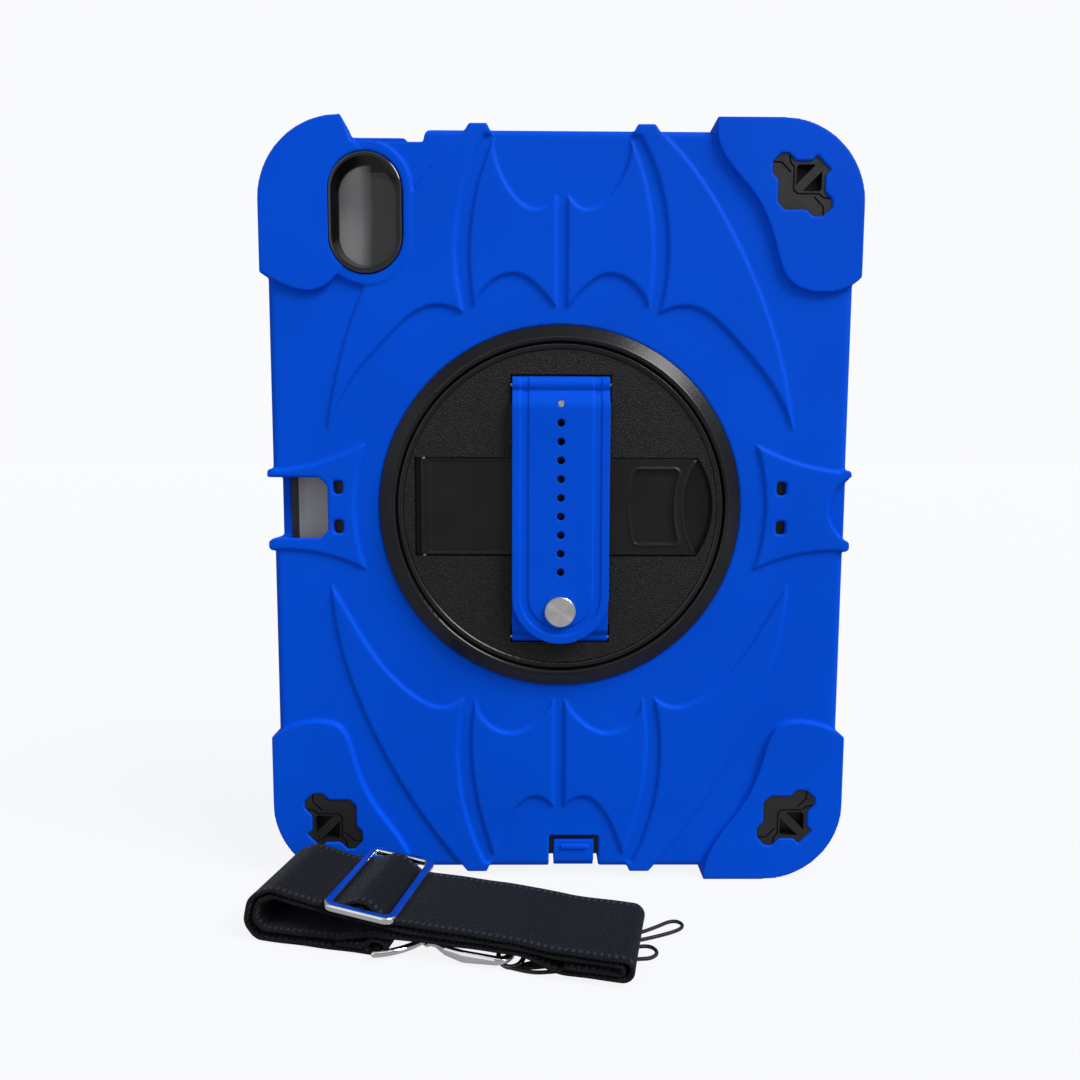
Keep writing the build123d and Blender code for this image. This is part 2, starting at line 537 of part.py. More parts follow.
with BuildPart() as turntable:
    with BuildSketch(RADIAL):
        with BuildLine():
            Polyline((0, DISC_BOTTOM), (DISC_FLANGE_R, DISC_BOTTOM), (DISC_FLANGE_R, FLANGE_TOP),
                     (DISC_R, FLANGE_TOP), (DISC_R, DISC_RIM_TOP - 0.7))
            ThreePointArc((DISC_R, DISC_RIM_TOP - 0.7), (DISC_R - 1.2, DISC_RIM_TOP),
                          (LEATHER_R + 0.3, DISC_RIM_TOP - 0.5))
            Polyline((LEATHER_R + 0.3, DISC_RIM_TOP - 0.5), (LEATHER_R + 0.3, LEATHER_TOP - LEATHER_T),
                     (0, LEATHER_TOP - LEATHER_T), (0, DISC_BOTTOM))
        make_face()
    revolve(axis=DISC_AXIS)
    with BuildSketch(BACK.offset(CAVITY_FLOOR)):
        add(stand_cavity.sketch)
    extrude(amount=8, mode=Mode.SUBTRACT)
    with BuildSketch(BACK.offset(DISC_BOTTOM)):
        add(strap_slots.sketch)
    extrude(amount=8, mode=Mode.SUBTRACT)
    # seats of the two strap bars and of the kickstand's pin
    with BuildSketch(SIDE.offset(-BAR_L / 2)):
        with Locations((BAND_PIVOT_Z, BAND_PIVOT_H), (KEEPER_PIVOT_Z, BAND_PIVOT_H)):
            Circle(BAR_R)
    extrude(amount=BAR_L, mode=Mode.SUBTRACT)
    with BuildSketch(Plane.XY.offset(CAVITY_Z0 - PIN_SEAT)):
        with Locations((STAND_X, BACK_Y - STAND_AXIS_H)):
            Circle(PIN_R)
    extrude(amount=CAVITY_Z1 - CAVITY_Z0 + 2 * PIN_SEAT, mode=Mode.SUBTRACT)
save(turntable.part, "turntable")

with BuildPart() as leather_disc:
    with BuildSketch(BACK.offset(LEATHER_TOP - LEATHER_T)):
        with Locations((0, RING_Z)):
            Circle(LEATHER_R)
        add(stand_cavity.sketch, mode=Mode.SUBTRACT)
        add(strap_slots.sketch, mode=Mode.SUBTRACT)
    extrude(amount=LEATHER_T)
save(leather_disc.part, "leather_disc")

# ------------------------------------------------------------------ kickstand
STAND_MID_Z = (STAND_Z0 + STAND_Z1) / 2
STAND_BOTTOM = STAND_AXIS_H - STAND_T / 2
STAND_TOP = STAND_AXIS_H + STAND_T / 2

# framed finger window near the free end
with BuildSketch() as finger_window:
    with BuildLine():
        ThreePointArc((29.6, 140.0), (27.4, STAND_MID_Z), (29.6, 169.2))
        Line((29.6, 169.2), (47.0, 169.2))
        ThreePointArc((47.0, 169.2), (44.4, STAND_MID_Z), (47.0, 140.0))
        Line((47.0, 140.0), (29.6, 140.0))
    make_face()
    fillet(finger_window.vertices(), 1.6)
with BuildSketch() as window_rim:
    add(finger_window.sketch)
    offset(amount=RIM_W)

with BuildPart() as kickstand:
    with BuildSketch(BACK.offset(STAND_BOTTOM)):
        with BuildLine():
            Line((54.2, STAND_Z0), (STAND_X, STAND_Z0))
            Line((STAND_X, STAND_Z0), (STAND_X, STAND_Z1))
            Line((STAND_X, STAND_Z1), (54.2, STAND_Z1))
            ThreePointArc((54.2, STAND_Z1), (STAND_END_X, STAND_MID_Z), (54.2, STAND_Z0))
        make_face()
    extrude(amount=STAND_T)
    # round knuckle round the pin
    with BuildSketch(Plane.XY.offset(STAND_Z0)):
        with Locations((STAND_X, BACK_Y - STAND_AXIS_H)):
            Circle(STAND_T / 2)
    extrude(amount=STAND_Z1 - STAND_Z0)
    with BuildSketch(Plane.XY.offset(STAND_Z0)):
        with Locations((STAND_X, BACK_Y - STAND_AXIS_H)):
            Circle(PIN_R + 0.06)
    extrude(amount=STAND_Z1 - STAND_Z0, mode=Mode.SUBTRACT)
    with BuildSketch(BACK.offset(STAND_TOP - 0.5)):
        add(window_rim.sketch)
    extrude(amount=0.5 + RIM_H)
    with BuildSketch(BACK.offset(STAND_TOP - 0.9)):
        add(finger_window.sketch)
    extrude(amount=3, mode=Mode.SUBTRACT)
    # ridge along the hollow end
    with BuildSketch(BACK.offset(STAND_TOP - 0.5)):
        with BuildLine():
            ThreePointArc((53.0, STAND_Z1 - 0.8), (STAND_END_X - 0.8, STAND_MID_Z),
                          (53.0, STAND_Z0 + 0.8))
        trace(line_width=0.9)
    extrude(amount=0.5 + RIM_H)
    # plain sunk panel of the hinge half
    with BuildSketch(BACK.offset(STAND_TOP - 0.3)):
        with Locations(((PANEL_X0 + PANEL_X1) / 2, STAND_MID_Z)):
            Rectangle(PANEL_X1 - PANEL_X0, STAND_Z1 - STAND_Z0 - 2 * PANEL_EDGE)
    extrude(amount=2, mode=Mode.SUBTRACT)
save(kickstand.part, "kickstand")

with BuildPart() as kickstand_pin:
    with BuildSketch(Plane.XY.offset(CAVITY_Z0 - PIN_SEAT)):
        with Locations((STAND_X, BACK_Y - STAND_AXIS_H)):
            Circle(PIN_R)
    extrude(amount=CAVITY_Z1 - CAVITY_Z0 + 2 * PIN_SEAT)
save(kickstand_pin.part, "kickstand_pin")

# ------------------------------------------------------------------ hand strap
for name, z in (("upper_strap_bar", BAND_PIVOT_Z), ("lower_strap_bar", KEEPER_PIVOT_Z)):
    with BuildPart() as strap_bar:
        with BuildSketch(SIDE.offset(-BAR_L / 2)):
            with Locations((z, BAND_PIVOT_H)):
                Circle(BAR_R)
        extrude(amount=BAR_L)
    save(strap_bar.part, name)


def band_height(z):
    """Height of the middle of the band's thickness on its straight run."""
    return BAND_NECK_H + (BAND_NECK_Z - z) * (BAND_END_H - BAND_NECK_H) / (BAND_NECK_Z - BAND_END_Z)


BAND_MID_LINE = [(BAND_PIVOT_Z, BAND_PIVOT_H), (BAND_NECK_Z, BAND_NECK_H), (BAND_END_Z, BAND_END_H)]
END_R = BAND_W / 2

with BuildPart() as hand_strap_band:
    with BuildSketch(SIDE.offset(-BAND_W / 2)):
        with BuildLine():
            FilletPolyline(*BAND_MID_LINE, radius=6.0)
        trace(line_width=BAND_T)
        with Locations((BAND_PIVOT_Z, BAND_PIVOT_H)):
            Circle(BAND_EYE_R)
            Circle(BAR_R + 0.06, mode=Mode.SUBTRACT)
    extrude(amount=BAND_W)
    # round end
    with BuildSketch(BACK.offset(-5)):
        with Locations((0, BAND_END_Z)):
            Rectangle(BAND_W, 110, align=(Align.CENTER, Align.MIN))
        with Locations((0, BAND_END_Z)):
            Rectangle(BAND_W, END_R, align=(Align.CENTER, Align.MIN), mode=Mode.SUBTRACT)
        with Locations((0, BAND_END_Z + END_R)):
            Circle(END_R)
    extrude(amount=20, mode=Mode.INTERSECT)
    # U-shaped groove between the rolled edge and the raised panel, up to the slot
    lowered = hand_strap_band.part.moved(Location((0, GROOVE_T, 0)))
    outer_skin = hand_strap_band.part - lowered
    with BuildSketch(BACK.offset(GROOVE_FOOT_H)):
        with Locations((0, BAND_END_Z + END_R)):
            Circle(END_R - EDGE_ROLL)
            Rectangle(BAND_W - 2 * EDGE_ROLL, 90, align=(Align.CENTER, Align.MIN))
            Circle(END_R - EDGE_ROLL - GROOVE_W, mode=Mode.SUBTRACT)
            Rectangle(BAND_W - 2 * EDGE_ROLL - 2 * GROOVE_W, 90, align=(Align.CENTER, Align.MIN),
                      mode=Mode.SUBTRACT)
    groove_plan = extrude(amount=20, mode=Mode.PRIVATE)
    add(outer_skin.intersect(groove_plan), mode=Mode.SUBTRACT)
    # adjusting holes, and the stud's hole
    with Locations(BACK.offset(-4)):
        with Locations(*[(0, HOLE_LAST_Z + HOLE_PITCH * i, 0) for i in range(HOLE_COUNT)]):
            Cylinder(HOLE_R, 16, align=(Align.CENTER, Align.CENTER, Align.MIN), mode=Mode.SUBTRACT)
        with Locations((0, STUD_Z, 0)):
            Cylinder(SHANK_R, 16, align=(Align.CENTER, Align.CENTER, Align.MIN), mode=Mode.SUBTRACT)
save(hand_strap_band.part, "hand_strap_band")

STUD_SEAT = band_height(STUD_Z) + BAND_T / 2
with BuildPart() as strap_stud:
    with Locations(BACK.offset(STUD_SEAT + 0.15)):
        with Locations((0, STUD_Z, 0)):
            Cylinder(STUD_R, 1.5, align=(Align.CENTER, Align.CENTER, Align.MIN))
    chamfer(strap_stud.faces().sort_by(Axis.Y)[0].edges(), 0.45)
    with Locations(BACK.offset(3.9)):
        with Locations((0, STUD_Z, 0)):
            Cylinder(SHANK_R - 0.02, STUD_SEAT - 3.6, align=(Align.CENTER, Align.CENTER, Align.MIN))
save(strap_stud.part, "strap_stud")

RIVET_Z = HOLE_LAST_Z + HOLE_PITCH * (HOLE_COUNT - 1)
with BuildPart() as strap_rivet:
    with Locations(BACK.offset(band_height(RIVET_Z) - BAND_T / 2)):
        with Locations((0, RIVET_Z, 0)):
            Cylinder(HOLE_R - 0.02, BAND_T - 0.4, align=(Align.CENTER, Align.CENTER, Align.MIN))
    chamfer(strap_rivet.faces().sort_by(Axis.Y)[0].edges(), 0.3)
save(strap_rivet.part, "strap_rivet")

with BuildPart() as strap_keeper:
    with BuildSketch(SIDE.offset(-BAND_W / 2)):
        with BuildLine():
            FilletPolyline((KEEPER_PIVOT_Z, BAND_PIVOT_H), (KEEPER_PIVOT_Z + 3.2, KEEPER_H),
                           (KEEPER_TOP_Z, KEEPER_H), radius=2.0)
        trace(line_width=KEEPER_T)
        with Locations((KEEPER_PIVOT_Z, BAND_PIVOT_H)):
            Circle(BAR_R + 1.0)
            Circle(BAR_R + 0.02, mode=Mode.SUBTRACT)
    extrude(amount=BAND_W)
    with Locations(BACK):
        with Locations((0, STUD_Z, 0)):
            Cylinder(SHANK_R + 0.3, 8, align=(Align.CENTER, Align.CENTER, Align.MIN), mode=Mode.SUBTRACT)
save(strap_keeper.part, "strap_keeper")

# ------------------------------------------------------------------ USB flap and buttons
with BuildPart() as usb_flap:
    # bottom leg, from the back to the hinge roll at the front
    with BuildSketch(SIDE.offset(FLAP_X - FLAP_W / 2)):
        with BuildLine():
            Polyline((BODY_Z0, FLAP_HINGE_H), (BODY_Z0, -3.0))
            RadiusArc((BODY_Z0, -3.0), (BODY_Z0 + 3.0, 0), -3.0)
            Polyline((BODY_Z0 + 3.0, 0), (FLAP_TOP, 0), (FLAP_TOP, -FLAP_T + 0.1),
                     (SHELL_Z0 - 0.5, -FLAP_T + 0.1), (SHELL_Z0 - 2.6, -FLAP_T - 2.2),
                     (SHELL_Z0 - 2.6, FLAP_HINGE_H), (BODY_Z0, FLAP_HINGE_H))
        make_face()
        with Locations((FLAP_HINGE_Z, FLAP_HINGE_H)):
            Circle(FLAP_HINGE_Z - BODY_Z0)
    extrude(amount=FLAP_W)
    # plug that enters the port opening
    with BuildSketch(Plane.XY.offset(SHELL_Z0 - 3.0)):
        with Locations((FLAP_X, BACK_Y - PORT_H)):
            SlotOverall(8.4, 2.4)
    extrude(amount=4.6)
    # grip bar near the tongue's end
    with BuildSketch(BACK):
        with Locations((FLAP_X + 0.3, FLAP_TOP - 2.7)):
            SlotOverall(11.4, 1.6)
    extrude(amount=0.8)
save(usb_flap.part, "usb_flap")

for name, z in BUTTON_Z.items():
    with BuildPart() as volume_button:
        with BuildSketch(SIDE.offset(-BODY_W / 2 - BUMP_SIDE + 0.1)):
            with Locations((z, BUTTON_H)):
                SlotOverall(BUTTON_L, BUTTON_T)
        extrude(amount=BODY_W / 2 + BUMP_SIDE - 0.1 - SHELL_W / 2)
        fillet(volume_button.faces().sort_by(Axis.X)[0].edges(), 0.6)
        with BuildSketch(SIDE.offset(-SHELL_W / 2 + 0.05)):
            with Locations((z, BUTTON_H)):
                Rectangle(BUTTON_FLANGE_L, BUTTON_FLANGE_T)
        extrude(amount=1.0)
        with BuildSketch(SIDE.offset(-SHELL_W / 2)):
            with Locations((z, BUTTON_H)):
                SlotOverall(BUTTON_L, BUTTON_T)
        extrude(amount=0.1)
    save(volume_button.part, name)

# ------------------------------------------------------------------ shoulder strap
def route_radii(points):
    """The largest arc that each corner's two runs allow."""
    radii = []
    for before, corner, after in zip(points, points[1:], points[2:]):
        turn = math.radians((corner - before).get_angle(after - corner))
        run = min((corner - before).length, (after - corner).length)
        radii.append(0.45 * run / math.tan(turn / 2))
    return radii


# The webbing, from its sewn end round the D-ring: floor layer, left fold, top layer
# through the slide, right fold, and back inside itself in a second, nested turn.
# Each corner is (along, up, bend radius).
WEB_ROUTE = [
    (33.0, 2.7, 0), (43.6, 2.7, 2.0), (46.6, 5.6, 2.3), (51.6, 5.6, 2.3), (51.6, 0.95, 2.3),
    (2.0, 0.95, 5.5), (-2.5, 6.5, 6.0), (-0.5, 15.5, 6.0), (8.0, 20.0, 8.0),
    (25.0, 16.4, 9.0), (33.5, 16.2, 6.0), (41.2, 19.3, 4.5), (45.0, 19.0, 4.5), (52.4, 13.0, 6.0),
    (62.0, 12.9, 20.0), (86.0, 12.1, 40.0), (99.0, 11.4, 40.0), (112.0, 10.0, 60.0),
    (138.0, 9.6, 3.4), (138.0, 2.7, 3.4), (113.0, 2.7, 20.0), (100.5, 7.5, 20.0), (72.0, 7.8, 20.0),
    (47.0, 7.6, 14.0), (34.0, 4.9, 14.0), (5.0, 4.4, 3.0), (1.0, 8.0, 3.6), (2.8, 14.6, 4.0),
    (9.5, 17.3, 6.0), (26.0, 14.5, 14.0), (44.0, 12.2, 30.0), (60.0, 10.2, 30.0),
    (86.0, 10.0, 60.0), (99.0, 9.4, 60.0), (112.0, 7.9, 60.0), (135.0, 7.6, 1.48), (135.0, 4.6, 1.48),
    (115.0, 4.7, 0),
]

with BuildPart() as shoulder_webbing:
    with BuildSketch(STRAP):
        with BuildLine():
            FilletPolyline(*[(u, z) for u, z, _ in WEB_ROUTE], radius=[r for _, _, r in WEB_ROUTE[1:-1]])
        trace(line_width=WEB_T)
    extrude(amount=WEB_W / 2, both=True)
save(shoulder_webbing.part, "shoulder_webbing")

SLIDE = Plane(origin=STRAP_ORIGIN + ALONG * SLIDE_U + Vector(0, 0, SLIDE_Z),
              x_dir=Vector(1, 0, 0).rotate(Axis.Y, -SLIDE_TILT).rotate(Axis.Z, STRAP_ANGLE),
              z_dir=Vector(0, 0, 1).rotate(Axis.Y, -SLIDE_TILT).rotate(Axis.Z, STRAP_ANGLE))
with BuildPart() as strap_slide:
    with BuildSketch(SLIDE.offset(-SLIDE_T / 2)):
        RectangleRounded(SLIDE_L, SLIDE_W, 4.0)
        RectangleRounded(SLIDE_L - 2 * SLIDE_BAR, SLIDE_W - 2 * SLIDE_BAR, 1.5, mode=Mode.SUBTRACT)
    extrude(amount=SLIDE_T)
    fillet(strap_slide.edges().filter_by(GeomType.LINE).filter_by(
        lambda e: e.length > 15), 0.9)
    with BuildSketch(SLIDE.offset(-1.1)):
        Rectangle(2.6, SLIDE_W - SLIDE_BAR)
    extrude(amount=2.2)
save(strap_slide.part, "strap_slide")

# D-ring: a straight bar in the webbing's end, and a bow towards the hook
D_RING_HALF = WEB_W / 2 + 3.0
D_BOW_R = (D_RING_HALF ** 2 + D_RING_REACH ** 2) / (2 * D_RING_REACH)
D_BOW_U = D_RING_U + D_RING_REACH - D_BOW_R      # middle of the bow's circle
D_RING_PLANE = STRAP_FLOOR.offset(D_RING_Z)
with BuildPart() as strap_d_ring:
    with BuildLine(D_RING_PLANE) as bow:
        ThreePointArc((D_RING_U, D_RING_HALF), (D_RING_U + D_RING_REACH, 0), (D_RING_U, -D_RING_HALF))
    with BuildSketch(Plane(origin=bow.line @ 0, z_dir=bow.line % 0)):
        Circle(D_RING_R)
    sweep()
    with BuildLine(D_RING_PLANE) as bar:
        Line((D_RING_U, -D_RING_HALF), (D_RING_U, D_RING_HALF))
    with BuildSketch(Plane(origin=bar.line @ 0, z_dir=bar.line % 0)):
        Circle(D_RING_R)
    sweep()
    with Locations(bow.line @ 0, bow.line @ 1):
        Sphere(D_RING_R)
save(strap_d_ring.part, "strap_d_ring")

# Snap hook: an eye round the D-ring's bow, a neck, two long sides and a round end
BOW_EYE_U = D_BOW_U + math.sqrt(D_BOW_R ** 2 - EYE_V ** 2)
OUT_U, OUT_V = (BOW_EYE_U - D_BOW_U) / D_BOW_R, EYE_V / D_BOW_R  # straight out of the bow
NECK_U = BOW_EYE_U + OUT_U * (EYE_R + HOOK_R)
NECK_V = EYE_V + OUT_V * (EYE_R + HOOK_R)
with BuildPart() as snap_hook:
    with BuildLine(STRAP_FLOOR.offset(HOOK_Z)) as hook_bow:
        FilletPolyline((NECK_U, NECK_V), (NECK_U + 6.0, NECK_V - 4.2), (LINK_U - 16.0, HOOK_V0),
                       (LINK_U, HOOK_V0), (LINK_U, HOOK_V1), (LINK_U - 8.5, HOOK_V1),
                       radius=[2.4, 6.0, 4.7, 4.7])
    with BuildSketch(Plane(origin=hook_bow.line @ 0, z_dir=hook_bow.line % 0)):
        Circle(HOOK_R)
    sweep()
    with Locations(hook_bow.line @ 0):
        Sphere(HOOK_R + 0.5)
    with Locations(hook_bow.line @ 1):
        Sphere(HOOK_R)
    with Locations(Plane(origin=STRAP_FLOOR.from_local_coords((BOW_EYE_U, EYE_V, D_RING_Z)),
                         z_dir=ACROSS * OUT_U - ALONG * OUT_V)):
        Torus(EYE_R, EYE_WIRE_R)
save(snap_hook.part, "snap_hook")

# The hook's gate closes it between the neck and the tip, and swings inwards.
with BuildPart() as hook_gate:
    with BuildLine(STRAP_FLOOR.offset(HOOK_Z)) as gate_line:
        Line((NECK_U + 5.2, NECK_V + 1.0), (LINK_U - 11.2, HOOK_V1))
    with BuildSketch(Plane(origin=gate_line.line @ 0, z_dir=gate_line.line % 0)):
        Circle(GATE_R)
    sweep()
    with Locations(gate_line.line @ 0, gate_line.line @ 1):
        Sphere(GATE_R)
save(hook_gate.part, "hook_gate")
print("gate hinge at", gate_line.line @ 0, "tip", gate_line.line @ 1)

# Cord link: a black ring through the hook's round end, leaning on the floor
LINK_AXIS = Vector(0, 0, math.cos(math.radians(LINK_TILT))) - ACROSS * math.sin(math.radians(LINK_TILT))
with BuildPart() as cord_link:
    with Locations(Plane(origin=STRAP_FLOOR.from_local_coords((LINK_U, (HOOK_V0 + HOOK_V1) / 2, LINK_Z)),
                         z_dir=LINK_AXIS)):
        Torus(LINK_R, LINK_WIRE_R)
save(cord_link.part, "cord_link")

# Two thin cord loops run from the link under the bundle and come out past its right fold.
# Routes are (along, across); both lie flat on the floor.
CORD_ROUTES = {
    "cord_loop_back": [
        (99.4, -13.8), (105.8, -9.6), (113.0, -4.0), (122.0, 3.6), (131.0, 10.2), (138.0, 15.4),
        (143.4, 20.6), (147.0, 24.6), (150.2, 25.8), (152.6, 23.6), (151.6, 20.2), (146.4, 15.8),
        (139.0, 10.8),
        (130.0, 5.6), (120.5, -2.2), (112.0, -8.0), (105.4, -12.0), (98.4, -14.8)],
    "cord_loop_front": [
        (97.0, -15.5), (102.2, -14.9), (108.0, -12.8), (116.0, -8.2), (124.0, -2.8), (131.5, 2.2),
        (138.6, 6.6), (142.6, 6.8), (144.8, 3.2), (142.6, -0.4), (138.5, -1.6), (132.5, -3.8),
        (126.0, -7.6), (118.0, -11.8), (110.5, -15.4), (103.0, -17.6), (95.4, -15.9)],
}
for name, route in CORD_ROUTES.items():
    radii = route_radii([Vector(*point) for point in route])
    with BuildPart() as cord:
        with BuildLine(STRAP_FLOOR.offset(CORD_Z)) as cord_line:
            FilletPolyline(*route, radius=radii)
        with BuildSketch(Plane(origin=cord_line.line @ 0, z_dir=cord_line.line % 0)):
            Circle(CORD_R)
        sweep()
    length = sum(edge.length for edge in cord_line.edges())
    print(name, "radii", [round(r, 1) for r in radii], "length", round(length, 1),
          "volume ratio", round(cord.part.volume / (math.pi * CORD_R ** 2 * length), 4))
    save(cord.part, name)
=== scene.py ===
import json
import math

import bpy
from mathutils import Matrix, Vector


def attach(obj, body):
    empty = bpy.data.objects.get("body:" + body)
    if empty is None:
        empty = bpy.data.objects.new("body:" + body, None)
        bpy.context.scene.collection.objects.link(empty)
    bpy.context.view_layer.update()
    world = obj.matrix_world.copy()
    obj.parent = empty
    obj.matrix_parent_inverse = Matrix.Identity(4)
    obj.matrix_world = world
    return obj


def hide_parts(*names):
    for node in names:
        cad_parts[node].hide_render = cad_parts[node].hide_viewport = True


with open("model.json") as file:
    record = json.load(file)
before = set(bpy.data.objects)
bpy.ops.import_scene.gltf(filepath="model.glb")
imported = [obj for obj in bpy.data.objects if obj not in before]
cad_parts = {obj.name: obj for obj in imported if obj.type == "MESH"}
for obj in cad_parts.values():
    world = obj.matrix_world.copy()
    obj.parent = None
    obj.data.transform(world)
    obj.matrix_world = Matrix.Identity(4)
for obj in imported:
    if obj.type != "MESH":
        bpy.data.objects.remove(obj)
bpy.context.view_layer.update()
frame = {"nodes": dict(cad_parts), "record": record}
SCENE = bpy.context.scene
MM = 0.001

# ------------------------------------------------------------------ shared sizes, as in the CAD model
STRAP_ORIGIN = Vector((-0.1085, 0.003, 0.0))
STRAP_TURN = math.radians(-12.5)
ALONG = Vector((math.cos(STRAP_TURN), math.sin(STRAP_TURN), 0))
ACROSS = Vector((-math.sin(STRAP_TURN), math.cos(STRAP_TURN), 0))


def strap_point(u, v, z):
    """A point of the shoulder strap, given in millimetres along it, across it and up."""
    return STRAP_ORIGIN + ALONG * (u * MM) + ACROSS * (v * MM) + Vector((0, 0, z * MM))


# ------------------------------------------------------------------ camera
PITCH, YAW, ROLL = math.radians(5.53), math.radians(0.54), math.radians(0.21)
CAMERA_AT = Vector((-0.0112, -0.308, 0.174))
forward = Vector((math.sin(YAW) * math.cos(PITCH), math.cos(YAW) * math.cos(PITCH),
                  -math.sin(PITCH)))
side = Vector((math.cos(YAW), -math.sin(YAW), 0))
up = side.cross(forward)
right = side * math.cos(ROLL) + up * math.sin(ROLL)
top = up * math.cos(ROLL) - side * math.sin(ROLL)
camera_data = bpy.data.cameras.new("camera")
camera_data.lens = 28.33
camera_data.sensor_width = 36.0
camera_data.clip_start = 0.01
camera = bpy.data.objects.new("camera", camera_data)
camera.matrix_world = Matrix((
    (right.x, top.x, -forward.x, CAMERA_AT.x),
    (right.y, top.y, -forward.y, CAMERA_AT.y),
    (right.z, top.z, -forward.z, CAMERA_AT.z),
    (0, 0, 0, 1)))
SCENE.collection.objects.link(camera)
SCENE.camera = camera
SCENE.view_settings.view_transform = "Standard"

# ------------------------------------------------------------------ thin cords of the shoulder strap
CORD_Z = 0.85
CORD_D = 0.0013
CORD_ROUTES = {
    "cord_loop_back": [
        (99.4, -13.8), (105.8, -9.6), (113.0, -4.0), (122.0, 3.6), (131.0, 10.2), (138.0, 15.4),
        (143.4, 20.6), (147.0, 24.6), (150.2, 25.8), (152.6, 23.6), (151.6, 20.2), (146.4, 15.8),
        (139.0, 10.8), (130.0, 5.6), (120.5, -2.2), (112.0, -8.0), (105.4, -12.0), (98.4, -14.8)],
    "cord_loop_front": [
        (97.0, -15.5), (102.2, -14.9), (108.0, -12.8), (116.0, -8.2), (124.0, -2.8), (131.5, 2.2),
        (138.6, 6.6), (142.6, 6.8), (144.8, 3.2), (142.6, -0.4), (138.5, -1.6), (132.5, -3.8),
        (126.0, -7.6), (118.0, -11.8), (110.5, -15.4), (103.0, -17.6), (95.4, -15.9)],
}
cords = []


def mesh_of(obj):
    """A new mesh of an object as it is shown, with its modifiers or its bevel."""
    depsgraph = bpy.context.evaluated_depsgraph_get()
    return bpy.data.meshes.new_from_object(obj.evaluated_get(depsgraph))


for name, route in CORD_ROUTES.items():
    curve = bpy.data.curves.new(name + "_line", "CURVE")
    curve.dimensions = "3D"
    spline = curve.splines.new("NURBS")
    spline.points.add(len(route) - 1)
    for point, (u, v) in zip(spline.points, route):
        point.co = (*strap_point(u, v, CORD_Z), 1.0)
    spline.order_u = 3
    spline.use_endpoint_u = True
    spline.resolution_u = 6
    curve.bevel_depth = CORD_D / 2
    curve.bevel_resolution = 4
    curve.use_fill_caps = True
    line = bpy.data.objects.new(name + "_line", curve)
    SCENE.collection.objects.link(line)
    tube = mesh_of(line)
    curve.bevel_depth = 0
    centre = [tuple(vertex.co) for vertex in mesh_of(line).vertices]
    bpy.data.objects.remove(line)
    cord = bpy.data.objects.new(name + "_tube", tube)
    SCENE.collection.objects.link(cord)
    for polygon in tube.polygons:
        polygon.use_smooth = len(polygon.vertices) == 4
    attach(cord, "shoulder_strap")
    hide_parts(name)
    cords.append(cord)


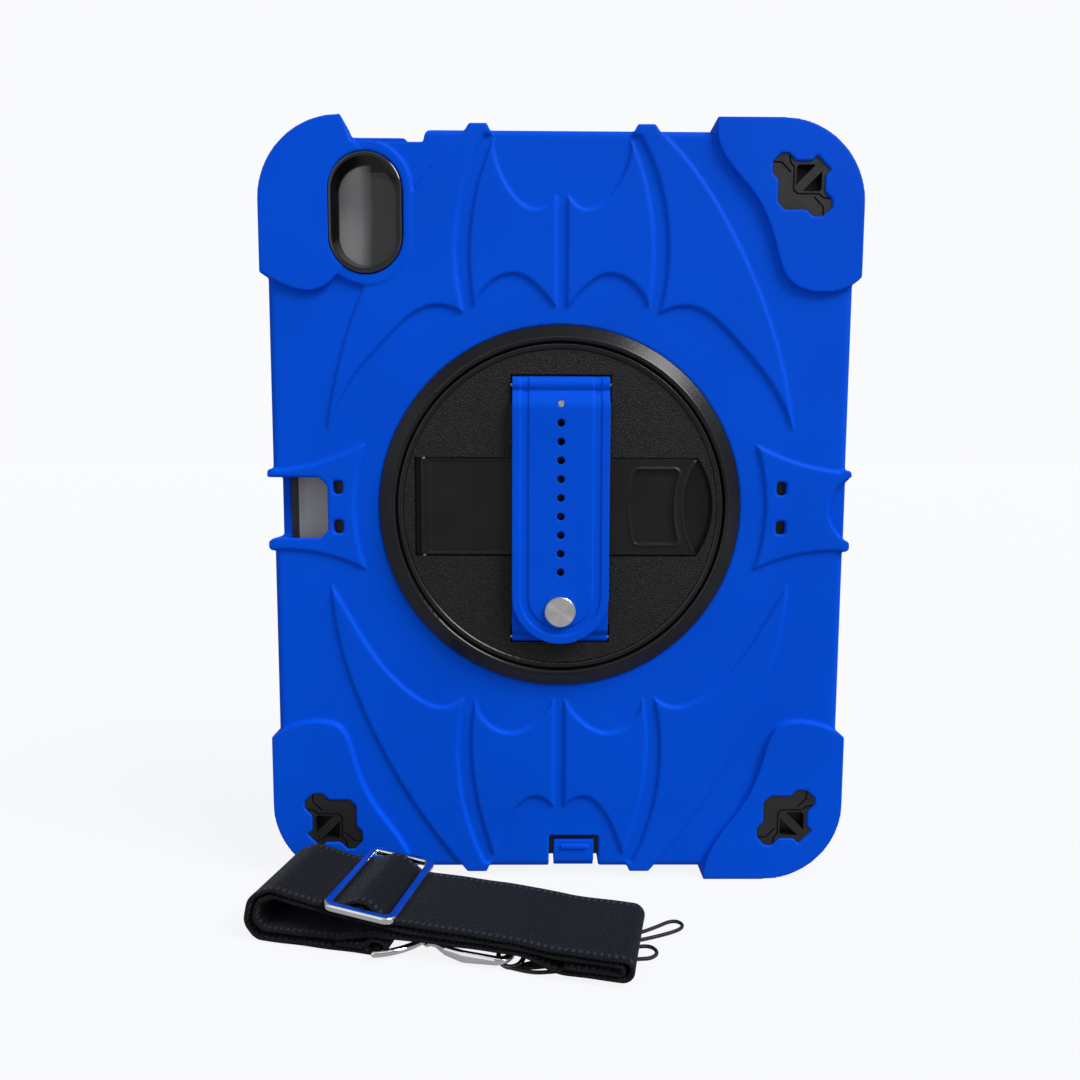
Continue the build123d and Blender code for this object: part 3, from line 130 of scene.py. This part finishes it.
# ------------------------------------------------------------------ node helpers
class Nodes:
    """A short way to write a material's node tree."""

    def __init__(self, name):
        self.mat = bpy.data.materials.new(name)
        self.mat.use_nodes = True
        self.tree = self.mat.node_tree
        self.tree.nodes.clear()
        self.out = self.tree.nodes.new("ShaderNodeOutputMaterial")
        self.bsdf = self.tree.nodes.new("ShaderNodeBsdfPrincipled")
        self.tree.links.new(self.bsdf.outputs[0], self.out.inputs["Surface"])

    def link(self, a, b):
        self.tree.links.new(a, b)

    def coords(self, kind="Object"):
        return self.tree.nodes.new("ShaderNodeTexCoord").outputs[kind]

    def scaled(self, vector, scale, turn=(0, 0, 0)):
        node = self.tree.nodes.new("ShaderNodeMapping")
        node.inputs["Scale"].default_value = scale
        node.inputs["Rotation"].default_value = turn
        self.link(vector, node.inputs["Vector"])
        return node.outputs[0]

    def noise(self, scale, detail=3.0, vector=None, rough=0.55, distortion=0.0):
        node = self.tree.nodes.new("ShaderNodeTexNoise")
        node.inputs["Scale"].default_value = scale
        node.inputs["Detail"].default_value = detail
        node.inputs["Roughness"].default_value = rough
        node.inputs["Distortion"].default_value = distortion
        self.link(vector or self.coords(), node.inputs["Vector"])
        return node.outputs["Fac"]

    def noise_colour(self, scale):
        node = self.tree.nodes.new("ShaderNodeTexNoise")
        node.inputs["Scale"].default_value = scale
        node.inputs["Detail"].default_value = 2.0
        self.link(self.coords(), node.inputs["Vector"])
        return node.outputs["Color"]

    def voronoi(self, scale, feature="F1", vector=None, randomness=1.0):
        node = self.tree.nodes.new("ShaderNodeTexVoronoi")
        node.feature = feature
        node.inputs["Scale"].default_value = scale
        node.inputs["Randomness"].default_value = randomness
        self.link(vector or self.coords(), node.inputs["Vector"])
        return node.outputs["Distance"]

    def ramp(self, factor, stops):
        node = self.tree.nodes.new("ShaderNodeValToRGB")
        while len(node.color_ramp.elements) > len(stops):
            node.color_ramp.elements.remove(node.color_ramp.elements[-1])
        while len(node.color_ramp.elements) < len(stops):
            node.color_ramp.elements.new(0.5)
        for element, (position, colour) in zip(node.color_ramp.elements, stops):
            element.position = position
            element.color = (*colour, 1.0) if len(colour) == 3 else colour
        self.link(factor, node.inputs["Fac"])
        return node.outputs["Color"]

    def math(self, operation, a, b=None, c=None, clamp=False):
        node = self.tree.nodes.new("ShaderNodeMath")
        node.operation = operation
        node.use_clamp = clamp
        for value, socket in zip((a, b, c), node.inputs):
            if value is None:
                continue
            if isinstance(value, (int, float)):
                socket.default_value = value
            else:
                self.link(value, socket)
        return node.outputs[0]

    def remap(self, value, low, high, to_low=0.0, to_high=1.0):
        node = self.tree.nodes.new("ShaderNodeMapRange")
        node.inputs["From Min"].default_value = low
        node.inputs["From Max"].default_value = high
        node.inputs["To Min"].default_value = to_low
        node.inputs["To Max"].default_value = to_high
        self.link(value, node.inputs["Value"])
        return node.outputs["Result"]

    def bump(self, height, distance, strength=1.0, normal=None):
        node = self.tree.nodes.new("ShaderNodeBump")
        node.inputs["Distance"].default_value = distance
        node.inputs["Strength"].default_value = strength
        self.link(height, node.inputs["Height"])
        if normal is not None:
            self.link(normal, node.inputs["Normal"])
        self.link(node.outputs[0], self.bsdf.inputs["Normal"])
        return node.outputs[0]

    def base(self, value):
        if isinstance(value, tuple):
            self.bsdf.inputs["Base Color"].default_value = (*value, 1.0)
        else:
            self.link(value, self.bsdf.inputs["Base Color"])

    def set(self, **values):
        names = {"rough": "Roughness", "metal": "Metallic", "spec": "Specular IOR Level",
                 "coat": "Coat Weight", "coat_rough": "Coat Roughness", "sheen": "Sheen Weight",
                 "sheen_rough": "Sheen Roughness", "aniso": "Anisotropic", "alpha": "Alpha"}
        for key, value in values.items():
            socket = self.bsdf.inputs[names[key]]
            if isinstance(value, (int, float)):
                socket.default_value = value
            else:
                self.link(value, socket)


# ------------------------------------------------------------------ materials
def blue_silicone():
    n = Nodes("blue_silicone")
    cloud = n.noise(14.0, 3.0)
    n.base(n.ramp(cloud, [(0.3, (0.0001, 0.074, 0.67)), (0.7, (0.0002, 0.085, 0.745))]))
    fine = n.noise(2600.0, 2.0)
    n.set(rough=n.remap(n.noise(420.0, 3.0), 0.3, 0.7, 0.52, 0.62), spec=0.04)
    n.bump(fine, 0.00005, 0.35)
    return n.mat


def black_shell():
    n = Nodes("black_shell")
    n.base(n.ramp(n.noise(60.0, 3.0), [(0.35, (0.010, 0.010, 0.012)), (0.65, (0.016, 0.016, 0.018))]))
    n.set(rough=n.remap(n.noise(900.0), 0.3, 0.7, 0.36, 0.5), spec=0.45)
    n.bump(n.noise(3200.0, 2.0), 0.00006, 0.5)
    return n.mat


def black_satin():
    n = Nodes("black_satin")
    n.base(n.ramp(n.noise(45.0, 3.0), [(0.35, (0.0040, 0.0040, 0.0046)),
                                       (0.65, (0.0070, 0.0070, 0.0078))]))
    n.set(rough=n.remap(n.noise(700.0), 0.3, 0.7, 0.22, 0.28), spec=0.38)
    n.bump(n.noise(2400.0, 2.0), 0.00001, 0.4)
    return n.mat


def black_gloss():
    n = Nodes("black_gloss")
    n.base(n.ramp(n.noise(80.0), [(0.4, (0.004, 0.004, 0.005)), (0.6, (0.007, 0.007, 0.008))]))
    n.set(rough=n.remap(n.noise(500.0), 0.3, 0.7, 0.05, 0.12), spec=0.6, coat=0.6, coat_rough=0.05)
    n.bump(n.noise(260.0, 2.0), 0.00003, 0.3)
    return n.mat


def black_grained():
    n = Nodes("black_grained")
    n.base(n.ramp(n.noise(55.0, 3.0), [(0.35, (0.0050, 0.0050, 0.0058)),
                                       (0.65, (0.0085, 0.0085, 0.0095))]))
    n.set(rough=n.remap(n.noise(1100.0), 0.3, 0.7, 0.34, 0.46), spec=0.30)
    n.bump(n.noise(2800.0, 3.0), 0.00005, 0.6)
    return n.mat


def black_leather():
    n = Nodes("black_leather")
    warp = n.noise(260.0, 2.0)
    vector = n.scaled(n.coords(), (1.0, 1.0, 1.15))
    mixed = n.tree.nodes.new("ShaderNodeVectorMath")
    mixed.operation = "MULTIPLY_ADD"
    n.link(n.noise_colour(180.0), mixed.inputs[0])
    mixed.inputs[1].default_value = (0.0012, 0.0012, 0.0012)
    n.link(vector, mixed.inputs[2])
    cells = n.voronoi(820.0, "DISTANCE_TO_EDGE", mixed.outputs[0])
    pebbles = n.remap(cells, 0.0, 0.22)
    creases = n.remap(n.voronoi(290.0, "DISTANCE_TO_EDGE", mixed.outputs[0]), 0.0, 0.12)
    fine = n.noise(2600.0, 3.0)
    height = n.math("ADD", n.math("MULTIPLY", pebbles, 0.62), n.math("MULTIPLY", creases, 0.30))
    height = n.math("ADD", height, n.math("MULTIPLY", fine, 0.25))
    tone = n.math("ADD", n.math("MULTIPLY", pebbles, 0.55), n.math("MULTIPLY", warp, 0.45))
    n.base(n.ramp(tone, [(0.2, (0.0045, 0.0045, 0.0052)), (0.75, (0.0135, 0.0135, 0.0142))]))
    n.set(rough=n.remap(pebbles, 0.0, 1.0, 0.68, 0.54), spec=0.26)
    n.bump(height, 0.00022, 0.85)
    return n.mat


def brushed(name, tint, rough_low, rough_high, streak=(90.0, 2200.0, 2200.0)):
    n = Nodes(name)
    lines = n.noise(1.0, 3.0, n.scaled(n.coords(), streak))
    n.base(n.ramp(lines, [(0.3, tuple(c * 0.82 for c in tint)), (0.7, tint)]))
    n.set(metal=1.0, rough=n.remap(lines, 0.3, 0.7, rough_low, rough_high), aniso=0.5)
    n.bump(lines, 0.00001, 0.4)
    return n.mat


def turned_metal(name, tint):
    """A face turned on a lathe: its grain runs round the Y axis, so it shines in fans."""
    n = Nodes(name)
    lines = n.noise(3200.0, 2.0)
    n.base(n.ramp(lines, [(0.3, tuple(c * 0.90 for c in tint)), (0.7, tint)]))
    n.set(metal=1.0, rough=n.remap(lines, 0.3, 0.7, 0.22, 0.30), aniso=0.85)
    tangent = n.tree.nodes.new("ShaderNodeTangent")
    tangent.direction_type = "RADIAL"
    tangent.axis = "Y"
    n.link(tangent.outputs[0], n.bsdf.inputs["Tangent"])
    return n.mat


def polished_metal():
    n = Nodes("polished_metal")
    smudge = n.noise(160.0, 4.0)
    n.base(n.ramp(smudge, [(0.3, (0.78, 0.78, 0.79)), (0.7, (0.90, 0.90, 0.91))]))
    n.set(metal=1.0, rough=n.remap(smudge, 0.3, 0.7, 0.07, 0.16))
    n.bump(n.noise(420.0, 2.0), 0.00003, 0.3)
    return n.mat


PAINTED_LIGHT_BAND_EDGE = 0.0745                 # the film's painted light band ends this far left of the middle


def clear_film():
    """Clear film with painted light and shade: a pale band of painted light along its left edge, and painted
    shade in the dark tone to its right.
    """
    n = Nodes("clear_film")
    position = n.tree.nodes.new("ShaderNodeSeparateXYZ")
    n.link(n.coords(), position.inputs[0])
    drift = n.math("MULTIPLY", n.noise(7.0, 2.0), 0.006)
    shifted = n.math("ADD", n.math("ADD", position.outputs[0], drift), PAINTED_LIGHT_BAND_EDGE)
    step = n.remap(shifted, -0.010, 0.010)
    fine = n.noise(1.0, 3.0, n.scaled(n.coords(), (160.0, 1.0, 9.0)))
    tone = n.math("ADD", step, n.math("MULTIPLY", n.math("SUBTRACT", fine, 0.5), 0.22))
    # painted light and shade: the pale stops paint the light band at the left edge, the dark stops paint
    # shade to its right
    n.base(n.ramp(tone, [(0.10, (0.40, 0.40, 0.41)), (0.40, (0.33, 0.33, 0.34)),
                         (0.60, (0.036, 0.036, 0.037)), (1.0, (0.030, 0.030, 0.031))]))
    n.set(rough=n.remap(fine, 0.3, 0.7, 0.10, 0.20), spec=0.5, alpha=0.86)
    n.bump(n.noise(18.0, 2.0), 0.0002, 0.3)
    return n.mat


def webbing():
    """Ribbed webbing. The UVs are millimetres along the band and across it."""
    n = Nodes("black_webbing")
    uv = n.coords("UV")
    parts = n.tree.nodes.new("ShaderNodeSeparateXYZ")
    n.link(uv, parts.inputs[0])
    along, across = parts.outputs[0], parts.outputs[1]
    wobble = n.math("MULTIPLY", n.noise(0.35, 2.0, uv), 1.6)
    warp = n.math("SINE", n.math("MULTIPLY", n.math("ADD", across, wobble), 2 * math.pi / 0.95))
    weft = n.math("SINE", n.math("MULTIPLY", n.math("ADD", along, wobble), 2 * math.pi / 1.15))
    twill = n.math("SINE", n.math("MULTIPLY", n.math("ADD", n.math("ADD", along, across), wobble),
                                  2 * math.pi / 1.7))
    woven = n.math("ADD", n.math("MULTIPLY", warp, 0.30), n.math("MULTIPLY", weft, 0.42))
    woven = n.math("ADD", woven, n.math("MULTIPLY", twill, 0.20))
    fuzz = n.noise(4.0, 4.0, uv)
    from_middle = n.math("ABSOLUTE", across)
    seam = n.math("MULTIPLY", n.remap(from_middle, 15.8, 16.4), n.remap(from_middle, 18.2, 17.6))
    stitch = n.math("GREATER_THAN", n.math("SINE", n.math("MULTIPLY", along, 2 * math.pi / 2.4)), 0.1)
    stitch = n.math("MULTIPLY", stitch, seam)
    height = n.math("ADD", n.math("MULTIPLY", woven, 0.5), n.math("MULTIPLY", fuzz, 0.6))
    height = n.math("ADD", height, n.math("MULTIPLY", stitch, 1.4))
    tone = n.math("ADD", n.math("MULTIPLY", woven, 0.34), n.math("MULTIPLY", fuzz, 0.72))
    tone = n.math("ADD", tone, n.math("MULTIPLY", stitch, 0.55))
    n.base(n.ramp(tone, [(0.12, (0.0012, 0.0014, 0.0020)), (0.62, (0.0088, 0.0100, 0.0132)),
                         (1.0, (0.030, 0.032, 0.037))]))
    n.set(rough=0.82, spec=0.16, sheen=0.06, sheen_rough=0.4)
    n.bump(height, 0.00030, 1.0)
    return n.mat


def cord_fibre():
    n = Nodes("black_cord")
    braid = n.noise(2400.0, 2.0, n.scaled(n.coords(), (1.0, 1.0, 2.0), (0.0, 0.0, 0.6)))
    n.base(n.ramp(braid, [(0.35, (0.004, 0.004, 0.005)), (0.65, (0.016, 0.016, 0.018))]))
    n.set(rough=0.6, spec=0.4)
    n.bump(braid, 0.0002, 0.8)
    return n.mat


def washer_plastic():
    n = Nodes("washer_plastic")
    n.base(n.ramp(n.noise(90.0), [(0.3, (0.52, 0.52, 0.50)), (0.7, (0.60, 0.60, 0.57))]))
    n.set(rough=n.remap(n.noise(700.0), 0.3, 0.7, 0.3, 0.4))
    n.bump(n.noise(1500.0), 0.00003, 0.4)
    return n.mat


MATERIALS = {
    "blue_silicone": blue_silicone(),
    "black_shell": black_shell(),
    "clear_film": clear_film(),
    "black_gloss": black_gloss(),
    "black_satin": black_satin(),
    "black_grained": black_grained(),
    "black_leather": black_leather(),
    "steel": brushed("steel", (0.55, 0.55, 0.55), 0.25, 0.35),
    "brushed_steel": turned_metal("brushed_steel", (0.86, 0.85, 0.83)),
    "washer_plastic": washer_plastic(),
    "black_webbing": webbing(),
    "polished_metal": polished_metal(),
    "black_cord": cord_fibre(),
}
SLOTS = {part["node"]: part["material_slot"] for part in frame["record"]["subparts"]}
BODY_OF = {node: body for body, members in frame["record"]["behaviour"]["bodies"].items() for node in members}


def dress(obj, slot):
    """Give an object one material."""
    obj.data.materials.clear()
    obj.data.materials.append(MATERIALS[slot])


for node, obj in frame["nodes"].items():
    dress(obj, SLOTS[node])
for cord in cords:
    dress(cord, "black_cord")


# ------------------------------------------------------------------ soft moulded pieces
def apply_modifiers(obj):
    """Bake an object's modifiers into its mesh."""
    mesh = mesh_of(obj)
    obj.modifiers.clear()
    obj.data = mesh


def soften(node, voxel, rounds, triangles):
    """A copy of a CAD solid with its edges rounded as a moulding's are. It replaces the node."""
    obj = bpy.data.objects.new(node + "_moulded", frame["nodes"][node].data.copy())
    SCENE.collection.objects.link(obj)
    remesh = obj.modifiers.new("remesh", "REMESH")
    remesh.mode = "VOXEL"
    remesh.voxel_size = voxel * MM
    smooth = obj.modifiers.new("smooth", "SMOOTH")
    smooth.factor = 0.5
    smooth.iterations = rounds
    apply_modifiers(obj)
    count = sum(len(p.vertices) - 2 for p in obj.data.polygons)
    if count > triangles:
        decimate = obj.modifiers.new("decimate", "DECIMATE")
        decimate.ratio = triangles / count
        apply_modifiers(obj)
    for polygon in obj.data.polygons:
        polygon.use_smooth = True
    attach(obj, BODY_OF[node])
    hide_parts(node)
    dress(obj, SLOTS[node])
    return obj


soften("silicone_sleeve", 0.52, 4, 190000)
soften("hand_strap_band", 0.26, 4, 90000)
soften("kickstand", 0.26, 2, 90000)
soften("usb_flap", 0.22, 3, 16000)
soften("strap_keeper", 0.25, 3, 16000)
for node in ("volume_up_button", "volume_down_button"):
    soften(node, 0.2, 3, 8000)
for polygon in frame["nodes"]["strap_slide"].data.polygons:
    polygon.use_smooth = True


# The snap hook's outer side, in the strap's own millimetres.
HOOK_MIDDLE_Z = 3.3
HOOK_U0, HOOK_U1 = 66.0, 94.0
BELLY_V, BELLY_FADE, BELLY_DEPTH = -12.5, 3.0, 0.65


def forged_hook():
    """The snap hook with a deeper belly along its outer side, as a cast hook has."""
    obj = bpy.data.objects.new("snap_hook_cast", frame["nodes"]["snap_hook"].data.copy())
    SCENE.collection.objects.link(obj)
    middle = HOOK_MIDDLE_Z * MM
    for vertex in obj.data.vertices:
        offset = vertex.co - STRAP_ORIGIN
        u, v = offset.dot(ALONG) / MM, offset.dot(ACROSS) / MM
        side_weight = min(1.0, max(0.0, (BELLY_V - v) / BELLY_FADE))
        length_weight = math.sin(math.pi * min(1.0, max(0.0, (u - HOOK_U0) / (HOOK_U1 - HOOK_U0))))
        vertex.co.z = middle + (vertex.co.z - middle) * (1 + BELLY_DEPTH * side_weight * length_weight)
    for polygon in obj.data.polygons:
        polygon.use_smooth = True
    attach(obj, "shoulder_strap")
    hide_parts("snap_hook")
    dress(obj, "polished_metal")


forged_hook()

# ------------------------------------------------------------------ shoulder webbing
# Each corner is (along, up, bend radius), as in the CAD model.
WEB_ROUTE = [
    (33.0, 2.7, 0), (43.6, 2.7, 2.0), (46.6, 5.6, 2.3), (51.6, 5.6, 2.3), (51.6, 0.95, 2.3),
    (2.0, 0.95, 5.5), (-2.5, 6.5, 6.0), (-0.5, 15.5, 6.0), (8.0, 20.0, 8.0),
    (25.0, 16.4, 9.0), (33.5, 16.2, 6.0), (41.2, 19.3, 4.5), (45.0, 19.0, 4.5), (52.4, 13.0, 6.0),
    (62.0, 12.9, 20.0), (86.0, 12.1, 40.0), (99.0, 11.4, 40.0), (112.0, 10.0, 60.0),
    (138.0, 9.6, 3.4), (138.0, 2.7, 3.4), (113.0, 2.7, 20.0), (100.5, 7.5, 20.0), (72.0, 7.8, 20.0),
    (47.0, 7.6, 14.0), (34.0, 4.9, 14.0), (5.0, 4.4, 3.0), (1.0, 8.0, 3.6), (2.8, 14.6, 4.0),
    (9.5, 17.3, 6.0), (26.0, 14.5, 14.0), (44.0, 12.2, 30.0), (60.0, 10.2, 30.0),
    (86.0, 10.0, 60.0), (99.0, 9.4, 60.0), (112.0, 7.9, 60.0), (135.0, 7.6, 1.48), (135.0, 4.6, 1.48),
    (115.0, 4.7, 0),
]
WEB_W, WEB_T = 38.0, 1.45
EDGE_ROUND = 0.7                    # how far in from the edge the band thins out
SEAM, SEAM_RAISE = (15.9, 18.2), 0.06
LOWEST = 0.12                       # the band stays this far above the floor


def band_line(corners):
    """Points along the band's middle line, about half a millimetre apart in the bends."""
    line = [Vector(corners[0][:2])]
    for before, corner, after in zip(corners, corners[1:], corners[2:]):
        a, b, c = Vector(before[:2]), Vector(corner[:2]), Vector(after[:2])
        into, out = (b - a).normalized(), (c - b).normalized()
        turn = into.angle_signed(out)
        reach = corner[2] * math.tan(abs(turn) / 2)
        start, end = b - into * reach, b + out * reach
        steps = max(3, int(abs(turn) * corner[2] / 0.6))
        for i in range(steps + 1):
            t = i / steps
            # a conic through the corner's tangents, weighted so that it is the arc
            w = math.cos(turn / 2)
            k = (1 - t) ** 2 + 2 * w * t * (1 - t) + t ** 2
            line.append((start * (1 - t) ** 2 + b * (2 * w * t * (1 - t)) + end * t ** 2) / k)
    line.append(Vector(corners[-1][:2]))
    even, travelled = [], 0.0
    for p, q in zip(line, line[1:]):
        length = (q - p).length
        if length < 1e-6:
            continue
        pieces = max(1, round(length / 0.9))
        for i in range(pieces):
            even.append((p.lerp(q, i / pieces), travelled + length * i / pieces))
        travelled += length
    even.append((line[-1], travelled))
    return even


def build_webbing():
    line = band_line(WEB_ROUTE)
    across = [-WEB_W / 2 + WEB_W * i / 38 for i in range(39)]
    points, uvs, faces = [], [], []
    for i, (point, travelled) in enumerate(line):
        p, q = line[max(0, i - 1)][0], line[min(len(line) - 1, i + 1)][0]
        tangent = (q - p).normalized()
        normal = Vector((-tangent.y, tangent.x))
        for sign in (1, -1):
            for v in (across if sign == 1 else reversed(across)):
                edge = max(0.0, abs(v) - (WEB_W / 2 - EDGE_ROUND)) / EDGE_ROUND
                rim = SEAM_RAISE if SEAM[0] < abs(v) < SEAM[1] else 0.0
                half = WEB_T / 2 * math.sqrt(max(0.0, 1 - edge ** 2 * 0.85)) - 0.05 + rim
                lift = normal * (sign * half)
                waver = 0.12 * math.sin(travelled / 3.1) * (v / 19)
                height = max(LOWEST, point.y + lift.y)
                points.append(strap_point(point.x + lift.x, v + waver, height))
                uvs.append((travelled, v))
    count = 2 * len(across)
    for i in range(len(line) - 1):
        for j in range(count):
            k = (j + 1) % count
            faces.append((i * count + j, i * count + k, (i + 1) * count + k, (i + 1) * count + j))
    last = (len(line) - 1) * count
    faces.append(tuple(range(count - 1, -1, -1)))
    faces.append(tuple(last + j for j in range(count)))
    mesh = bpy.data.meshes.new("webbing")
    mesh.from_pydata(points, [], faces)
    layer = mesh.uv_layers.new(name="UVMap")
    for loop in mesh.loops:
        layer.data[loop.index].uv = uvs[loop.vertex_index]
    for polygon in mesh.polygons:
        polygon.use_smooth = len(polygon.vertices) == 4
    obj = bpy.data.objects.new("webbing_band", mesh)
    SCENE.collection.objects.link(obj)
    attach(obj, "shoulder_strap")
    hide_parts("shoulder_webbing")
    dress(obj, "black_webbing")


build_webbing()

# ------------------------------------------------------------------ floor and light
FLOOR = 30.0
FLOOR_GLOW, FLOOR_BOUNCE = 0.925, 0.30       # its own light: as seen, and as it lights the case
PALE = (0.947, 0.956, 0.974, 1.0)
floor_mesh = bpy.data.meshes.new("floor")
floor_mesh.from_pydata([(-FLOOR, -FLOOR, 0), (FLOOR, -FLOOR, 0), (FLOOR, FLOOR, 0), (-FLOOR, FLOOR, 0)],
                       [], [(0, 1, 2, 3)])
floor = bpy.data.objects.new("floor", floor_mesh)
SCENE.collection.objects.link(floor)
floor_nodes = Nodes("floor")
floor_nodes.base((0.062, 0.063, 0.066))
floor_nodes.set(rough=0.8, spec=0.1)
floor_glow = floor_nodes.tree.nodes.new("ShaderNodeEmission")
floor_glow.inputs["Color"].default_value = PALE
floor_seen = floor_nodes.tree.nodes.new("ShaderNodeLightPath")
floor_nodes.link(floor_nodes.remap(floor_seen.outputs["Is Camera Ray"], 0.0, 1.0, FLOOR_BOUNCE, FLOOR_GLOW),
                 floor_glow.inputs["Strength"])
floor_sum = floor_nodes.tree.nodes.new("ShaderNodeAddShader")
floor_nodes.link(floor_nodes.bsdf.outputs[0], floor_sum.inputs[0])
floor_nodes.link(floor_glow.outputs[0], floor_sum.inputs[1])
floor_nodes.link(floor_sum.outputs[0], floor_nodes.out.inputs["Surface"])
floor_mesh.materials.append(floor_nodes.mat)

world = bpy.data.worlds.new("studio")
SCENE.world = world
world.use_nodes = True
tree = world.node_tree
tree.nodes.clear()
world_out = tree.nodes.new("ShaderNodeOutputWorld")
seen = tree.nodes.new("ShaderNodeBackground")
seen.inputs["Color"].default_value = PALE
lit = tree.nodes.new("ShaderNodeBackground")
lit.inputs["Color"].default_value = (0.93, 0.95, 1.0, 1.0)
lit.inputs["Strength"].default_value = 0.30
mix = tree.nodes.new("ShaderNodeMixShader")
path = tree.nodes.new("ShaderNodeLightPath")
tree.links.new(path.outputs["Is Camera Ray"], mix.inputs["Fac"])
tree.links.new(lit.outputs[0], mix.inputs[1])
tree.links.new(seen.outputs[0], mix.inputs[2])
tree.links.new(mix.outputs[0], world_out.inputs["Surface"])


def softbox(name, place, target, width, height, watts, colour=(1, 1, 1)):
    data = bpy.data.lights.new(name, "AREA")
    data.shape = "RECTANGLE"
    data.size = width
    data.size_y = height
    data.energy = watts
    data.color = colour
    light = bpy.data.objects.new(name, data)
    light.location = place
    light.rotation_euler = (Vector(target) - Vector(place)).to_track_quat("-Z", "Y").to_euler()
    SCENE.collection.objects.link(light)


def soft_sun(name, towards_light, strength, spread, colour=(1, 1, 1)):
    data = bpy.data.lights.new(name, "SUN")
    data.energy = strength
    data.angle = math.radians(spread)
    data.color = colour
    light = bpy.data.objects.new(name, data)
    light.rotation_euler = (-Vector(towards_light)).to_track_quat("-Z", "Y").to_euler()
    SCENE.collection.objects.link(light)


CENTRE = (0.0, 0.02, 0.15)
soft_sun("key", (0.70, -0.42, 0.85), 2.9, 28)
soft_sun("fill", (-0.9, -0.8, 0.35), 0.5, 60)
softbox("strip_right", (0.9, -0.9, 0.55), CENTRE, 0.3, 1.2, 1.2)
softbox("strip_top", (-0.1, -0.7, 1.1), CENTRE, 1.2, 0.3, 1.2)
